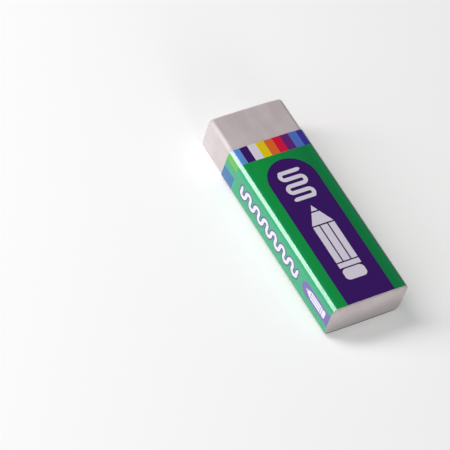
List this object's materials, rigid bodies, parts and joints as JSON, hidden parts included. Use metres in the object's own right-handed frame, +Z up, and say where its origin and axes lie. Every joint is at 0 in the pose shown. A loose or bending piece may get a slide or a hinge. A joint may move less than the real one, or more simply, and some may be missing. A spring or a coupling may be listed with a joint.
{
  "type": "rubber eraser",
  "caption": "Stick eraser: a long rectangular block with rounded edges, bare at one end, in a close paper sleeve with a glued lap, striped at its edge and printed with plain pill shapes.",
  "frame": {"origin": "under the middle of the eraser, on the surface that its sleeve lies on", "axes": "+X runs along the block from its bare end to its covered end, +Y across the block towards the narrow side with the sleeve's glued lap, +Z up through the thickness"},
  "size_m": [0.06, 0.0214, 0.0103],
  "materials": {
    "vinyl_block": "satin",
    "printed_paper": "gloss"
  },
  "bodies": {
    "block": {"eraser_block": "vinyl_block"},
    "sleeve": {"paper_sleeve": "printed_paper"}
  },
  "joints": [
    {"name": "sleeve_slide", "type": "slide", "parent": "block", "child": "sleeve", "axis": [1, 0, 0], "range_m": [-0.0107, 0.033]}
  ]
}
